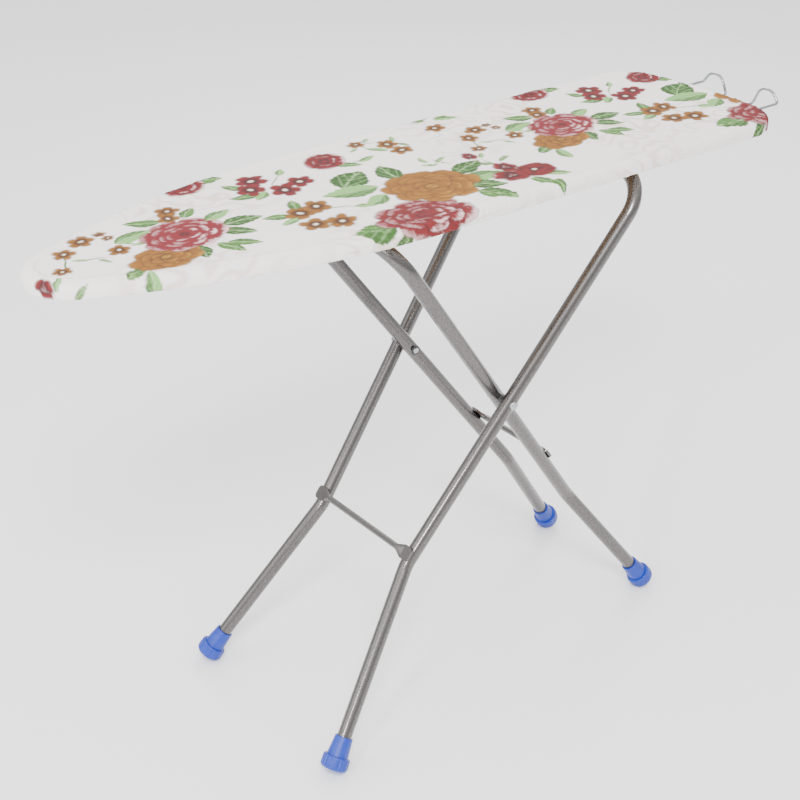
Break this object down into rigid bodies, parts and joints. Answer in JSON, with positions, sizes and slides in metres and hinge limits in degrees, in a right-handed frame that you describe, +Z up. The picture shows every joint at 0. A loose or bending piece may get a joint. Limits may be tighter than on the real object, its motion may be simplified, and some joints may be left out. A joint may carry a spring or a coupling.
{
  "type": "ironing board",
  "caption": "Free-standing ironing board with a tapered padded top, a floral cover, crossed folding tube legs with plastic feet and a sliding wire iron rest at its wide end.",
  "frame": {"origin": "on the floor, under the middle of the overall bounding box, iron rest included", "axes": "+X from the nose of the board to the iron rest, +Y across the board, +Z up, out of the ironing surface"},
  "size_m": [1.1769, 0.3516, 0.755],
  "materials": {
    "cover_fabric": "printed cotton, floral on off-white",
    "padding_felt": "needled felt",
    "elastic": "woven elastic band",
    "panel_wood": "raw particle board",
    "leg_paint": "silver-grey hammertone paint",
    "zinc_steel": "bright zinc plate",
    "rest_wire": "bright drawn wire",
    "nylon": "natural nylon",
    "foot_plastic": "blue moulded plastic, slightly glossy"
  },
  "bodies": {
    "board": {"board_panel": "panel_wood", "padding": "padding_felt", "cover": "cover_fabric", "hem_elastic": "elastic", "height_rack": "zinc_steel", "rack_keeper": "zinc_steel", "saddle_screws": "zinc_steel", "rack_screws": "zinc_steel", "clip_screws": "zinc_steel", "hinge_saddle_left": "zinc_steel", "hinge_saddle_right": "zinc_steel", "hinge_block_left": "nylon", "hinge_block_right": "nylon", "iron_rest_clip_left": "zinc_steel", "iron_rest_clip_right": "zinc_steel"},
    "iron_rest": {"iron_rest_wire": "rest_wire"},
    "outer_frame": {"outer_leg_frame": "leg_paint", "outer_crossbar": "leg_paint", "outer_foot_left": "foot_plastic", "outer_foot_right": "foot_plastic", "pivot_rivet_left": "zinc_steel", "pivot_rivet_right": "zinc_steel", "pivot_spacer_left": "nylon", "pivot_spacer_right": "nylon", "pivot_washer_left": "zinc_steel", "pivot_washer_right": "zinc_steel"},
    "inner_frame": {"inner_leg_frame": "leg_paint", "inner_crossbar": "leg_paint", "inner_foot_left": "foot_plastic", "inner_foot_right": "foot_plastic"}
  },
  "joints": [
    {"name": "outer_frame_fold", "type": "hinge", "parent": "board", "child": "outer_frame", "pos_m": [0.2375, 0, 0.7188], "axis": [0, 1, 0], "range_deg": [0, 45.03]},
    {"name": "inner_frame_pivot", "type": "hinge", "parent": "outer_frame", "child": "inner_frame", "pos_m": [0.02283, 0, 0.44178], "axis": [0, 1, 0], "range_deg": [-91.9, 0]},
    {"name": "iron_rest_slide", "type": "slide", "parent": "board", "child": "iron_rest", "axis": [1, 0, 0], "range_m": [-0.07, 0]}
  ],
  "couplings": [
    {"joint": "inner_frame_pivot", "follows": "outer_frame_fold", "ratio": -2.0327}
  ]
}
